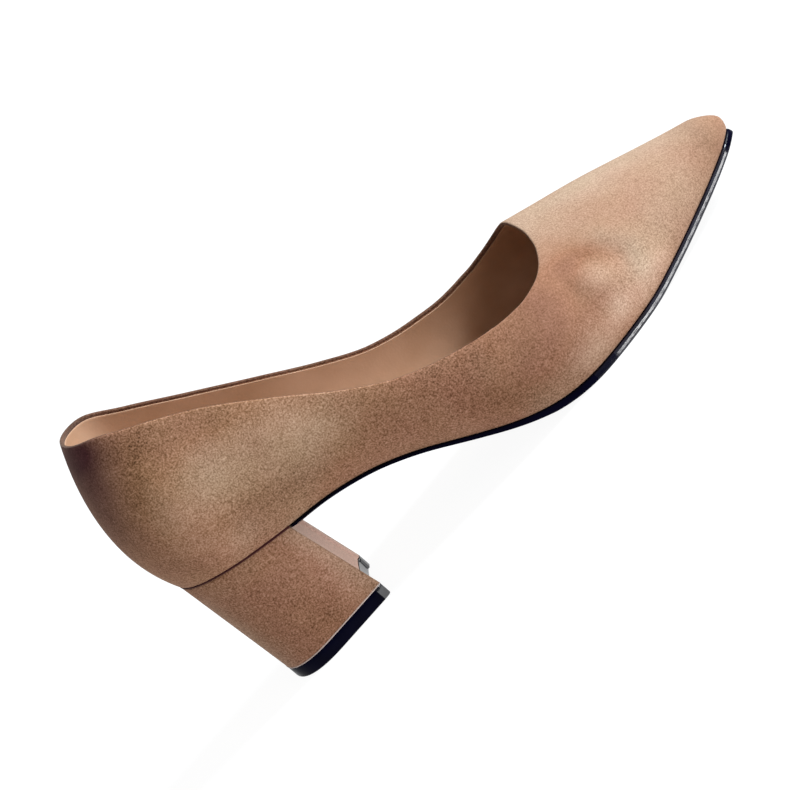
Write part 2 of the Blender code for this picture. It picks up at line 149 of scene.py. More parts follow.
# Sections of the last, from the back of the heel to the tip of the toe
LAST_COLUMNS = (
    "station", "feather_z", "ridge_z", "ridge_y", "lateral", "medial",
    "lateral_swell", "medial_swell", "swell_rise", "sole",
)
LAST = (
    (0.0, 54.1, 148.9, 0.0, 24.0, 24.0, 5.0, 5.0, 20.5, 2.0),
    (15.0, 51.6, 147.7, 0.0, 24.5, 24.5, 5.0, 5.0, 20.5, 2.0),
    (30.0, 48.3, 144.6, 0.0, 24.3, 24.0, 5.2, 5.5, 20.0, 2.0),
    (47.0, 44.7, 137.6, 0.5, 23.6, 22.2, 5.8, 7.0, 19.0, 2.0),
    (62.0, 42.0, 126.7, 1.0, 23.0, 19.8, 6.5, 8.5, 18.0, 2.0),
    (78.0, 37.3, 112.2, 2.0, 23.2, 18.0, 7.2, 10.0, 17.0, 2.1),
    (95.0, 29.6, 96.3, 3.0, 25.2, 18.4, 7.5, 10.5, 16.0, 2.2),
    (112.0, 19.2, 82.5, 4.0, 28.6, 21.6, 7.0, 9.5, 15.0, 2.3),
    (128.0, 10.2, 72.3, 5.0, 32.3, 26.6, 5.5, 7.5, 14.0, 2.4),
    (138.0, 6.3, 66.9, 5.5, 34.4, 30.4, 4.6, 5.8, 13.4, 2.5),
    (147.0, 4.0, 62.7, 6.0, 35.8, 33.2, 3.7, 4.4, 13.0, 2.5),
    (160.0, 2.8, 57.4, 6.3, 36.4, 35.6, 3.0, 3.2, 12.5, 2.5),
    (173.0, 2.8, 52.6, 6.5, 34.8, 36.2, 2.6, 2.6, 12.0, 2.5),
    (188.0, 2.8, 47.5, 6.3, 30.3, 34.6, 2.3, 2.3, 11.0, 2.5),
    (206.0, 4.8, 41.7, 5.8, 23.4, 29.6, 2.0, 2.0, 9.5, 2.4),
    (224.0, 7.8, 35.0, 5.0, 15.8, 22.6, 1.8, 1.8, 7.5, 2.4),
    (240.0, 10.9, 29.2, 4.2, 8.6, 15.2, 1.5, 1.5, 5.8, 2.4),
    (250.0, 13.2, 26.0, 3.6, 4.0, 10.4, 1.2, 1.2, 4.8, 2.3),
    (256.0, 14.6, 24.2, 3.2, 1.4, 7.4, 1.0, 1.0, 4.2, 2.3),
)

# The mouth on each side, from the throat back to the heel
THROAT_STATION = 177.1
MOUTH_MATCH = 145.0  # behind this station the columns stand upright
TOPLINE_COLUMNS = ("lateral_station", "lateral_z", "medial_station", "medial_z")
TOPLINE = (
    (178.1, 48.7, 175.1, 49.9),
    (177.0, 45.7, 172.4, 48.2),
    (173.4, 42.0, 168.3, 46.5),
    (166.9, 39.4, 162.8, 45.1),
    (157.0, 38.8, 155.2, 44.1),
    (145.0, 40.8, 145.0, 44.2),
    (128.0, 46.0, 128.0, 47.5),
    (112.0, 53.1, 112.0, 53.2),
    (95.4, 64.7, 95.4, 63.7),
    (75.7, 82.3, 75.7, 78.3),
    (56.0, 98.5, 56.0, 92.8),
    (36.2, 110.1, 36.2, 106.4),
    (16.3, 118.1, 16.3, 117.0),
    (0.0, COUNTER_TOP, 0.0, COUNTER_TOP),
)

# Soft strokes on the suede: the places that a stroke passes through, the radius over which it
# fades out, and its strength. A stroke of one place is a round patch.
# Relief, in mm along the surface's own normal: where the vamp is worn into a bulge, a dome with a
# shallow trough behind and above it, and a low ridge in front.
RELIEF = (
    (((181.8, -33.5, 24.2),), 6.8, 1.35),
    (((172.5, -34.8, 28.0), (174.0, -32.0, 34.0), (182.0, -28.5, 34.2), (190.5, -27.6, 29.0),
      (194.5, -28.7, 21.5)), 4.8, -0.75),
    (((196.5, -25.0, 30.0), (200.5, -27.0, 22.0), (198.5, -29.0, 14.0)), 5.5, 0.35),
)
# Where the nap lies lighter, above zero, or darker. Part of this is painted light and painted shade, as
# said at each part
NAP_TONE_AND_PAINTED_SHADING = (
    # the vamp, made paler in part as painted light, with the worn bulge in it: painted light on the dome
    # and painted shade in a crescent round it
    (((185.0, 3.0, 45.0), (225.0, 3.0, 33.0)), 32.0, 0.24),
    (((195.0, -29.0, 14.0), (225.0, -15.0, 18.0)), 13.0, 0.14),
    (((180.0, 3.0, 52.0), (240.0, 3.0, 30.0)), 12.0, 0.08),
    (((183.0, -33.7, 24.5),), 6.0, 0.13),
    (((180.0, -35.3, 12.0),), 5.0, 0.17),
    (((178.0, -29.0, 34.7), (183.5, -27.2, 33.9), (189.0, -27.4, 30.2), (193.7, -28.3, 24.0)), 4.2, -0.1),
    (((194.5, -26.0, 30.0), (198.5, -27.8, 21.5), (196.5, -30.0, 14.0)), 4.8, 0.15),
    (((168.0, -33.0, 35.0),), 9.0, -0.08),
    (((167.0, -35.0, 31.0), (179.0, -26.0, 39.0)), 9.0, -0.06),
    (((150.0, -38.0, 26.0),), 13.0, -0.08),
    (((140.0, -37.0, 8.0), (165.0, -37.5, 7.0)), 8.0, 0.12),
    (((230.0, -8.0, 24.0), (256.0, 2.0, 22.0)), 13.0, -0.06),
    (((246.0, -3.0, 22.0), (256.0, 3.0, 20.0)), 9.0, 0.09),
    (((181.0, -16.0, 45.0), (188.0, -21.0, 39.0)), 8.0, 0.06),
    # the quarter
    (((46.0, -29.0, 79.0), (72.0, -29.0, 66.0)), 14.0, 0.14),
    (((60.0, -28.0, 52.0),), 12.0, 0.08),
    (((35.0, -27.5, 55.0),), 9.0, 0.1),
    (((41.0, -29.0, 81.0),), 9.0, 0.06),
    # the counter, with painted shade round its back, most at the top, and a little along its sides
    (((30.0, -26.0, 109.0), (58.0, -27.0, 93.0)), 8.0, -0.09),
    (((18.0, -20.0, 117.0), (10.0, -8.0, 118.0), (10.0, 8.0, 118.0), (18.0, 20.0, 117.0)), 10.0, -0.5),
    (((12.0, -19.0, 103.0), (5.0, -8.0, 103.0), (5.0, 8.0, 103.0), (12.0, 19.0, 103.0)), 10.0, -0.3),
    (((6.0, -17.0, 88.0), (2.0, -8.0, 86.0), (2.0, 8.0, 86.0), (6.0, 17.0, 88.0)), 11.0, -0.22),
    (((12.0, -22.0, 66.0), (24.0, -26.0, 59.0)), 10.0, -0.06),
    # the heel, with painted light down its front corners
    (((22.0, -20.0, 8.0),), 10.0, -0.08),
    (((47.0, -23.0, 42.0), (52.0, -21.5, 6.0)), 5.5, 0.14),
    (((47.0, 21.5, 42.0), (52.0, 21.5, 6.0)), 5.5, 0.14),
    (((5.0, -9.0, 42.0), (8.0, -9.0, 8.0)), 7.0, 0.14),
)

# Where the grain shows less: on the vamp, and on the light patch of the quarter
GRAIN = (
    (((172.0, -25.0, 38.0), (256.0, 3.0, 22.0)), 32.0, -0.6),
    (((41.0, -29.0, 81.0), (72.0, -29.0, 66.0)), 14.0, -0.15),
)

# Painted light and painted shade: where the suede's colour is made brighter, above zero, or darker, such as
# painted light low on the ball's wall and round the counter's back, and painted shade on patches of the
# vamp, the ball, the quarter, the counter and the heel
PAINTED_LIGHT_AND_SHADE = (
    # the vamp and the ball
    (((160.0, -38.5, 9.0), (174.0, -36.3, 8.0), (204.0, -26.0, 9.0)), 5.0, 0.33),
    (((160.0, -38.0, 25.0), (168.0, -38.3, 15.0), (180.0, -35.5, 13.5)), 7.0, 0.12),
    (((180.5, -34.9, 25.6),), 4.0, 0.14),
    (((186.9, -28.9, 29.6),), 4.0, -0.2),
    (((248.0, -6.0, 19.0),), 7.0, -0.1),
    (((246.0, -3.0, 22.0), (256.0, 3.0, 20.0)), 9.0, -0.15),
    (((181.0, -16.0, 45.0), (188.0, -21.0, 39.0)), 8.0, -0.04),
    (((119.0, -34.6, 46.0), (135.0, -36.0, 38.0)), 7.0, -0.2),
    (((122.0, -37.0, 30.0), (130.0, -37.8, 20.0), (138.0, -37.0, 11.0)), 6.0, -0.16),
    # the quarter and the counter
    (((42.0, -29.0, 81.0), (70.0, -29.0, 67.0)), 13.0, 0.15),
    (((71.0, -29.2, 74.0), (83.0, -30.6, 60.0)), 7.0, 0.18),
    (((60.0, -29.0, 74.0),), 6.0, -0.08),
    (((47.5, -29.4, 62.0), (64.0, -29.0, 53.0)), 7.0, -0.12),
    (((24.0, -29.0, 76.0), (20.0, -28.0, 69.0), (30.0, -28.0, 58.0)), 7.0, 0.3),
    (((37.0, -29.3, 73.0),), 7.0, 0.12),
    (((32.0, -26.4, 106.0),), 7.0, -0.32),
    (((26.0, -27.4, 98.0), (20.4, -27.0, 93.0)), 5.0, -0.2),
    (((56.0, -27.0, 91.0),), 6.0, -0.08),
    (((20.5, -24.5, 105.5),), 4.0, 0.22),
    (((18.0, -20.0, 117.0), (10.0, 0.0, 117.0), (18.0, 20.0, 117.0)), 9.0, 0.38),
    (((12.0, -20.0, 102.0), (4.0, 0.0, 102.0), (12.0, 20.0, 102.0)), 9.0, 0.26),
    (((6.0, -17.0, 86.0), (2.0, 0.0, 86.0), (6.0, 17.0, 86.0)), 9.0, 0.08),
    # the heel
    (((46.0, -23.2, 38.0), (44.0, -21.9, 11.0)), 5.0, 0.26),
    (((34.0, -23.6, 37.0), (39.0, -23.1, 31.0)), 7.0, 0.16),
    (((31.4, -22.0, 12.0),), 6.0, -0.2),
)

# Where the dye is more olive
OLIVE = (
    (((22.0, -28.0, 88.0), (75.0, -28.0, 66.0)), 30.0, 0.009),
)

# How finely the pieces are cut
TOE_COLUMNS = 16
VAMP_COLUMNS = 60
QUARTER_COLUMNS = 54
HEEL_COLUMNS = 28
HEEL_RUN_COLUMNS = 36  # from the back of the heel to its front corner
WALL_ROWS = 40
SWELL_ROWS = 9
ROUND_STEPS = 6
FIRST_SWELL_ROW = len(MARGIN_REACHES) + ROUND_STEPS - 1
UPPER_RIM_STEPS = 8
RIM_OUTER_BANDS = 2  # bands of the folded edge that look like the outside
# The rest of the folded edge is painted dark as painted shade
LINING_RIM_STEPS = 4
BREAST_POINTS = 9  # from a crease to the middle of the breast
CORNER_POINTS = 8
HEEL_LEVELS = 24
HEEL_EDGE_STEPS = 4
LIFT_EDGE_STEPS = 5
BEAD_SIDES = 8
SMOOTHING = (-5.0, -2.5, 0.0, 2.5, 5.0)  # a size of the last is averaged over these distances
MERGE_DISTANCE = 1e-6  # in metres
SHORTEST_EDGE = 1e-7  # in metres

LATERAL, MEDIAL = -1, 1
SIDES = (LATERAL, MEDIAL)
SIDE_NAMES = {LATERAL: "lateral", MEDIAL: "medial"}


# Curves through tables

def monotone_curve(xs, ys, x):
    """Cubics through the points with no overshoot, at x. The xs rise."""
    xs, ys = np.asarray(xs, float), np.asarray(ys, float)
    x = np.clip(x, xs[0], xs[-1])
    step = np.diff(xs)
    rise = np.diff(ys) / step
    slope = np.concatenate([rise[:1], np.zeros(len(xs) - 2), rise[-1:]])
    same = rise[:-1] * rise[1:] > 0
    before, after = rise[:-1][same], rise[1:][same]
    slope[1:-1][same] = 2 * before * after / (before + after)
    k = np.clip(np.searchsorted(xs, x, side="right") - 1, 0, len(xs) - 2)
    t = (x - xs[k]) / step[k]
    start = (1 + 2 * t) * (1 - t) ** 2 * ys[k] + t * (1 - t) ** 2 * step[k] * slope[k]
    end = t * t * (3 - 2 * t) * ys[k + 1] - t * t * (1 - t) * step[k] * slope[k + 1]
    return start + end


DENSE = np.linspace(0.0, LENGTH, 1025)  # stations at which the last is worked out


@functools.lru_cache(maxsize=None)
def dense_size(name):
    """One column of the LAST table all along the shoe, with its corners averaged out."""
    stations = [row[0] for row in LAST]
    sizes = [row[LAST_COLUMNS.index(name)] for row in LAST]
    reach = np.minimum(1.0, np.minimum(DENSE, LENGTH - DENSE) / SMOOTHING[-1])
    taps = [monotone_curve(stations, sizes, DENSE + reach * tap) for tap in SMOOTHING]
    return sum(taps) / len(taps)


def last_size(name, station):
    return np.interp(station, DENSE, dense_size(name))


# The last

def round_end(share, power):
    """1 on the body of the last, falling to 0 at its very end."""
    share = np.clip(share, 0.0, 1.0)
    return (1 - (1 - share) ** power) ** (1 / power)


def toe_rounding(station):
    return round_end((LENGTH - station) / TOE_ROUND, TOE_ROUND_POWER)


def end_rounding(station):
    return round_end(station / HEEL_ROUND, HEEL_ROUND_POWER) * toe_rounding(station)


def widest_z(station):
    return last_size("feather_z", station) + last_size("swell_rise", station)


def ridge_height(station):
    """Height of the ridge over the widest line: the toe is rounded down to nothing."""
    return (last_size("ridge_z", station) - widest_z(station)) * toe_rounding(station)


def end_shift(station, z):
    """How far a point moves along X, because neither end of the last is upright."""
    below = np.maximum(0.0, (widest_z(station) - z) / last_size("swell_rise", station))
    above = np.maximum(0.0, (z - widest_z(0.0)) / (COUNTER_TOP - widest_z(0.0)))
    heel = np.maximum(0.0, 1 - station / HEEL_LEAN_REACH) ** 2
    toe = np.maximum(0.0, 1 - (LENGTH - station) / TOE_TUCK_REACH) ** 2
    heel_shift = heel * (HEEL_TUCK * below**2 + HEEL_LEAN * above**HEEL_LEAN_POWER)
    return heel_shift - toe * TOE_TUCK * below**2


def middle_y(station):
    """The y of the middle of the last's bottom."""
    return (last_size("medial", station) - last_size("lateral", station)) / 2


def half_section(station, side):
    """(y of the feather edge, y of the widest line, y of the ridge) on one side."""
    middle = middle_y(station)
    half = (last_size("medial", station) + last_size("lateral", station)) / 2
    swell = last_size(SIDE_NAMES[side] + "_swell", station)
    rounding = end_rounding(station)
    ridge = middle + (last_size("ridge_y", station) - middle) * rounding
    return middle + side * half * rounding, middle + side * (half + swell) * rounding, ridge


def swell_point(station, side, share):
    """Points between the feather edge, share 0, and the widest line, share 1."""
    feather_y, widest_y, _ = half_section(station, side)
    y = feather_y + (widest_y - feather_y) * (2 * share - share**2)
    z = last_size("feather_z", station) + last_size("swell_rise", station) * share
    return np.stack([station + end_shift(station, z), y, z], axis=-1)


def wall_point(station, y):
    """The points of the last over places in plan, above the widest line."""
    ridge_y = half_section(station, LATERAL)[2]
    widest = [half_section(station, side)[1] for side in SIDES]
    widest_y = np.where(y < ridge_y, *widest)
    out = np.minimum(1.0, np.abs((y - ridge_y) / (widest_y - ridge_y)))
    z = widest_z(station) + ridge_height(station) * (1 - out**SECTION_POWER) ** (1 / SECTION_POWER)
    return np.stack([station + end_shift(station, z), y, z], axis=-1)


def wall_y(station, side, z):
    """How far out the last is at a height above the widest line."""
    _, widest_y, ridge_y = half_section(station, side)
    up = np.clip((z - widest_z(station)) / ridge_height(station), 0.0, 1.0)
    return ridge_y + (widest_y - ridge_y) * (1 - up**SECTION_POWER) ** (1 / SECTION_POWER)


def bottom_z(x):
    """Height of the underside of the last at a place along the shoe."""
    places = swell_point(DENSE, LATERAL, 0.0)[:, 0]
    return last_size("feather_z", np.interp(x, places, DENSE))


def bottom_heights(x, layer):
    """Heights of a layer of this thickness, laid on the bottom of the last."""
    slope = (bottom_z(x + 1.0) - bottom_z(x - 1.0)) / 2
    return bottom_z(x) + layer * np.hypot(1, slope)


# Columns: lines that climb the last from the feather edge to the mouth

def topline(side):
    """Stations and heights of the mouth on one side."""
    station = TOPLINE_COLUMNS.index(SIDE_NAMES[side] + "_station")
    height = TOPLINE_COLUMNS.index(SIDE_NAMES[side] + "_z")
    return [row[station] for row in TOPLINE], [row[height] for row in TOPLINE]


def mouth_places(feather, side):
    """Stations and ys at which the columns meet the mouth."""
    stations, heights = topline(side)
    behind = stations.index(MOUTH_MATCH)
    rear = slice(None, behind - 2, -1)  # from the heel to one row in front of the match
    upright = monotone_curve(stations[rear], heights[rear], feather)
    ys = [float(wall_y(station, side, z)) for station, z in zip(stations, heights)]
    stations = [THROAT_STATION, *stations]
    ys = [float(half_section(THROAT_STATION, side)[2]), *ys]
    lengths = np.concatenate([[0.0], np.cumsum(np.hypot(np.diff(stations), np.diff(ys)))])
    match = lengths[stations.index(MOUTH_MATCH)]
    along = match * np.arange(len(feather)) / (TOE_COLUMNS + VAMP_COLUMNS)
    fanned = feather > MOUTH_MATCH
    station = np.where(fanned, monotone_curve(lengths, stations, along), feather)
    upright_y = wall_y(np.minimum(feather, MOUTH_MATCH), side, upright)
    return station, np.where(fanned, monotone_curve(lengths, ys, along), upright_y)


def column_stations():
    """Stations of the columns at the feather edge, from toe to heel."""
    toe = LENGTH - TOE_ROUND * (1 - np.cos(np.pi / 2 * np.arange(TOE_COLUMNS) / TOE_COLUMNS))
    vamp = np.linspace(LENGTH - TOE_ROUND, MOUTH_MATCH, VAMP_COLUMNS, endpoint=False)
    quarter = np.linspace(MOUTH_MATCH, HEEL_ROUND, QUARTER_COLUMNS, endpoint=False)
    heel = HEEL_ROUND * (1 - np.sin(np.pi / 2 * np.arange(HEEL_COLUMNS + 1) / HEEL_COLUMNS))
    return np.concatenate([toe, vamp, quarter, heel])


def ring_of(lateral, medial):
    """One closed ring: toe, lateral side, heel, medial side."""
    return np.concatenate([lateral, medial[-2:0:-1]])


STATIONS = column_stations()
RING_STATIONS = ring_of(STATIONS, STATIONS)


def ring_at_share(share):
    """A ring between feather edge and widest line, at one share or at one for each station."""
    return ring_of(*(swell_point(STATIONS, side, share) for side in SIDES))


def wall_ring(row):
    """A ring above the widest line, the last of which is the mouth."""
    inward = 1 - math.cos(math.pi / 2 * row / WALL_ROWS)
    body = STATIONS[:-1]
    low = float(widest_z(0.0))
    back_z = low + (COUNTER_TOP - low) * row / WALL_ROWS
    back = np.array([[float(end_shift(0.0, back_z)), 0.0, back_z]])
    sides = []
    for side in SIDES:
        end_station, end_y = mouth_places(STATIONS, side)
        start_y = half_section(body, side)[1]
        station = body + (end_station[:-1] - body) * inward
        y = start_y + (end_y[:-1] - start_y) * inward
        sides.append(np.concatenate([wall_point(station, y), back]))
    return ring_of(*sides)


def turned_under(ring, reach):
    """The ring moved under the last by a reach, towards the shoe's long axis."""
    axis_x = np.clip(ring[:, 0], HEEL_ROUND, LENGTH - 2 * TOE_ROUND)
    way = np.stack([axis_x, middle_y(RING_STATIONS)], axis=1) - ring[:, :2]
    share = np.minimum(reach / np.linalg.norm(way, axis=1), LASTING_LIMIT)
    place = ring[:, :2] + way * share[:, None]
    return np.column_stack([place, bottom_z(place[:, 0])])


def offset_in_plan(ring, distance):
    """The ring moved outwards in plan by a distance, or inwards if it is negative."""
    along = np.roll(ring, -1, axis=0) - np.roll(ring, 1, axis=0)
    outward = np.stack([along[:, 1], -along[:, 0], np.zeros(len(ring))], axis=1)
    outward /= np.linalg.norm(outward, axis=1, keepdims=True)
    quarter = len(ring) // 4
    if np.dot(outward[quarter], ring[quarter] - ring.mean(axis=0)) < 0:
        outward = -outward
    return ring + outward * distance


def inset_ring(outline, inset, z):
    """The outline moved inwards in plan and put at a height."""
    ring = offset_in_plan(outline, -inset)
    ring[:, 2] = z
    return ring


def grid_normals(rows):
    """Normals of a grid of rings, pointing out of the shoe."""
    along = np.roll(rows, -1, axis=1) - np.roll(rows, 1, axis=1)
    up = np.gradient(rows, axis=0)
    normals = np.cross(up, along)
    normals /= np.maximum(np.linalg.norm(normals, axis=2, keepdims=True), TINY)
    middle = rows.mean(axis=(0, 1))
    outwards = np.sum(normals * (rows - middle), axis=2).mean()
    return normals if outwards > 0 else -normals


def strokes_at(points, table):
    """The sum of a table's soft strokes at each point."""
    total = np.zeros(points.shape[:-1])
    for path, radius, amount in table:
        distance = np.full(total.shape, np.inf)
        for start, end in zip(path, path[1:] or path):
            start, along = np.array(start), np.subtract(end, start)
            share = np.clip((points - start) @ along / max(along @ along, TINY), 0.0, 1.0)
            away = points - start - share[..., None] * along
            distance = np.minimum(distance, np.linalg.norm(away, axis=-1))
        total += amount * np.exp(-(distance / radius) ** 2)
    return total


# Materials

def linear(hex_colour):
    """An sRGB hex colour as linear RGBA."""
    parts = [int(hex_colour[k : k + 2], 16) / 255 for k in (0, 2, 4)]
    return (*((p / 12.92 if p <= 0.04045 else ((p + 0.055) / 1.055) ** 2.4) for p in parts), 1.0)


def add_node(tree, kind, inputs=None, **settings):
    """Adds a node with its settings. An input is a value, or a socket to link from."""
    node = tree.nodes.new(kind)
    for name, value in settings.items():
        setattr(node, name, value)
    for key, value in (inputs or {}).items():
        if isinstance(value, bpy.types.NodeSocket):
            tree.links.new(value, node.inputs[key])
        else:
            node.inputs[key].default_value = value
    return node


def new_material(name, **values):
    """A material with these values on its shader: (material, node tree, shader)."""
    made = bpy.data.materials.new(name)
    made.use_nodes = True
    shader = made.node_tree.nodes["Principled BSDF"]
    for key, value in values.items():
        shader.inputs[key.replace("_", " ")].default_value = value
    return made, made.node_tree, shader


def set_stops(ramp, *stops):
    """Gives a new colour ramp its stops, each a position and a hex colour. It starts with two."""
    elements = ramp.color_ramp.elements
    for k, (position, colour) in enumerate(stops):
        stop = elements[k] if k < len(elements) else elements.new(position)
        stop.position, stop.color = position, linear(colour)


def per_metre(size):
    """The scale at which a noise texture's features are about this many millimetres."""
    return 1.0 / (size * MM)


NOISE_LOW, NOISE_MIDDLE, NOISE_HIGH = 0.3, 0.5, 0.7  # most of a noise texture lies between these
RAMP_MIDDLE = 0.5
SAME_HUE = 0.5  # leaves a hue as it is

# Patterns of the suede: size in mm, detail, and how far each moves the tone along the ramp or the
# brightness. The real fibres are finer than the grain, which is as coarse as it needs to show.
SUEDE_CLOUD = (24.0, 3.0, 0.24)
SUEDE_MOTTLE = (3.0, 2.0, 0.2)
SUEDE_GRAIN = (0.62, 1.5, 2.25)
GRAIN_PALING = 0.2  # how much less colour there is in the light fibres than in the dark ones
SUEDE_FLUSH = (16.0, 1.0, 0.014)  # moves the hue: the dye is redder and greener in patches
FUZZ_HEIGHT = 0.25
FUZZ_STRENGTH = 0.3


def brushed_suede(name, dark, light, pale, grain=1.0):
    """Brushed microfibre suede: no gloss, a cloudy nap and a fuzz that lightens at grazing angles."""
    made, tree, shader = new_material(
        name, Roughness=0.95, Specular_IOR_Level=0.1, Sheen_Weight=0.2, Sheen_Roughness=0.5,
        Sheen_Tint=linear("e6ccb8"),
    )
    place = add_node(tree, "ShaderNodeTexCoord").outputs["Object"]

    def patterned(start, pattern, share=1.0):
        """A socket with the pattern added to the start, and the pattern's own noise."""
        size, detail, amount = pattern
        inputs = {"Vector": place, "Scale": per_metre(size), "Detail": detail}
        noise = add_node(tree, "ShaderNodeTexNoise", inputs).outputs["Fac"]
        change = {0: noise, 1: NOISE_MIDDLE}
        centred = add_node(tree, "ShaderNodeMath", change, operation="SUBTRACT").outputs[0]
        scaled = add_node(tree, "ShaderNodeMath", {0: centred, 1: amount}, operation="MULTIPLY")
        terms = {0: scaled.outputs[0], 1: share, 2: start}
        return add_node(tree, "ShaderNodeMath", terms, operation="MULTIPLY_ADD").outputs[0], noise

    def stroked(start, attribute):
        """A socket with the strokes that the mesh keeps as an attribute added to the start."""
        strokes = add_node(tree, "ShaderNodeAttribute", attribute_name=attribute).outputs["Fac"]
        return add_node(tree, "ShaderNodeMath", {0: strokes, 1: start}, operation="ADD").outputs[0]

    # The tone follows the nap, which holds painted light and painted shade as well
    tone = patterned(stroked(RAMP_MIDDLE, "nap"), SUEDE_CLOUD)[0]
    ramp = add_node(tree, "ShaderNodeValToRGB", {"Fac": tone})
    set_stops(ramp, (0.0, dark), (1.0, pale), (RAMP_MIDDLE, light))
    # The brightness follows the strokes of painted light and painted shade
    mottled = patterned(stroked(1.0, "painted_light_and_shade"), SUEDE_MOTTLE, grain)[0]
    local = add_node(tree, "ShaderNodeAttribute", attribute_name="grain").outputs["Fac"]
    local = add_node(tree, "ShaderNodeMath", {0: local, 1: grain, 2: grain}, operation="MULTIPLY_ADD")
    value, fibres = patterned(mottled, SUEDE_GRAIN, local.outputs[0])
    paling = {0: value, 1: -GRAIN_PALING, 2: 1 + GRAIN_PALING}
    colour = add_node(tree, "ShaderNodeMath", paling, operation="MULTIPLY_ADD").outputs[0]
    hue = patterned(stroked(SAME_HUE, "olive"), SUEDE_FLUSH)[0]
    dye = {"Color": ramp.outputs["Color"], "Hue": hue, "Saturation": colour, "Value": value}
    dyed = add_node(tree, "ShaderNodeHueSaturation", dye)
    tree.links.new(dyed.outputs["Color"], shader.inputs["Base Color"])
    fuzz = {"Height": fibres, "Distance": FUZZ_HEIGHT * MM, "Strength": FUZZ_STRENGTH * grain}
    bump = add_node(tree, "ShaderNodeBump", fuzz)
    tree.links.new(bump.outputs["Normal"], shader.inputs["Normal"])
    return made


LINING_PEBBLE = 0.9
LINING_CLOUD = 18.0
PEBBLE_HEIGHT = 0.08
PEBBLE_STRENGTH = 0.4


def lining_leather(name, dark, light):
    """Coated lining leather: a dull smooth skin with a fine pebble pressed into it."""
    made, tree, shader = new_material(name, Roughness=0.6, Specular_IOR_Level=0.35)
    place = add_node(tree, "ShaderNodeTexCoord").outputs["Object"]
    pebble = {"Vector": place, "Scale": per_metre(LINING_PEBBLE)}
    cells = add_node(tree, "ShaderNodeTexVoronoi", pebble, feature="SMOOTH_F1").outputs["Distance"]
    patches = {"Vector": place, "Scale": per_metre(LINING_CLOUD), "Detail": 3.0}
    cloud = add_node(tree, "ShaderNodeTexNoise", patches).outputs["Fac"]
    ramp = add_node(tree, "ShaderNodeValToRGB", {"Fac": cloud})
    set_stops(ramp, (NOISE_LOW, dark), (NOISE_HIGH, light))
    tree.links.new(ramp.outputs["Color"], shader.inputs["Base Color"])
    pressed = {"Height": cells, "Distance": PEBBLE_HEIGHT * MM, "Strength": PEBBLE_STRENGTH}
    bump = add_node(tree, "ShaderNodeBump", pressed)
    tree.links.new(bump.outputs["Normal"], shader.inputs["Normal"])
    return made


EDGE_WAVE = 13.0  # the edge was trimmed and inked by hand, so its gloss wavers
RUBBER_RELIEF = 0.05
RUBBER_RELIEF_STRENGTH = 0.8


def black_rubber(name, ior, specular, roughness, wave, stipple):
    """Black synthetic rubber: a blue black whose gloss wavers over a range of roughness.

    Its surface has slow waves, this many times as high as the stipple, whose size is in mm.
    """
    made, tree, shader = new_material(name, IOR=ior, Specular_IOR_Level=specular)
    place = add_node(tree, "ShaderNodeTexCoord").outputs["Object"]
    waves = {"Vector": place, "Scale": per_metre(EDGE_WAVE), "Detail": 3.0}
    slow = add_node(tree, "ShaderNodeTexNoise", waves).outputs["Fac"]
    tint = add_node(tree, "ShaderNodeValToRGB", {"Fac": slow})
    set_stops(tint, (NOISE_LOW, "030310"), (NOISE_HIGH, "07071c"))
    tree.links.new(tint.outputs["Color"], shader.inputs["Base Color"])
    low, high = roughness
    gloss = {"Value": slow, "From Min": NOISE_LOW, "From Max": NOISE_HIGH, "To Min": low, "To Max": high}
    wavering = add_node(tree, "ShaderNodeMapRange", gloss).outputs["Result"]
    tree.links.new(wavering, shader.inputs["Roughness"])
    grit = {"Vector": place, "Scale": per_metre(stipple), "Detail": 1.0}
    fine = add_node(tree, "ShaderNodeTexNoise", grit).outputs["Fac"]
    terms = {0: slow, 1: wave, 2: fine}
    uneven = add_node(tree, "ShaderNodeMath", terms, operation="MULTIPLY_ADD").outputs[0]
    relief = {"Height": uneven, "Distance": RUBBER_RELIEF * MM, "Strength": RUBBER_RELIEF_STRENGTH}
    bump = add_node(tree, "ShaderNodeBump", relief)
    tree.links.new(bump.outputs["Normal"], shader.inputs["Normal"])
    return made


# The suede is brushed on the outside. Its folded edge is painted dark as painted shade, the breast panel is
# painted pale as painted light and is smooth, the dark bead in the heel seat seam is a painted shadow and
# the pale bead at the cover's cut edge is a painted highlight
SUEDE = brushed_suede("taupe_microfibre_suede_brushed", "38121a", "8d644d", "a8927c")
FOLD_SUEDE_PAINTED_SHADE = brushed_suede("taupe_suede_painted_shade_on_fold", "3c281f", "5c3f30", "6d4d3d")
PALE_BREAST_PANEL_PAINTED_LIGHT = brushed_suede("taupe_suede_painted_light_on_breast", "cda898", "e3bfaf", "eccdc0", grain=0.3)
SEAM_PAINTED_SHADOW = brushed_suede("dark_bead_as_painted_shadow", "240c0e", "3a1517", "4a2222", grain=0.3)
PALE_EDGE_PAINTED_HIGHLIGHT = brushed_suede("pale_bead_as_painted_highlight", "a08a80", "c4b0a8", "d8c8c2", grain=0.3)
LINING = lining_leather("tan_lining_leather_coated", "a98468", "b8947a")
SOCK = lining_leather("tan_sock_leather_coated", "b08b6e", "bd9a80")
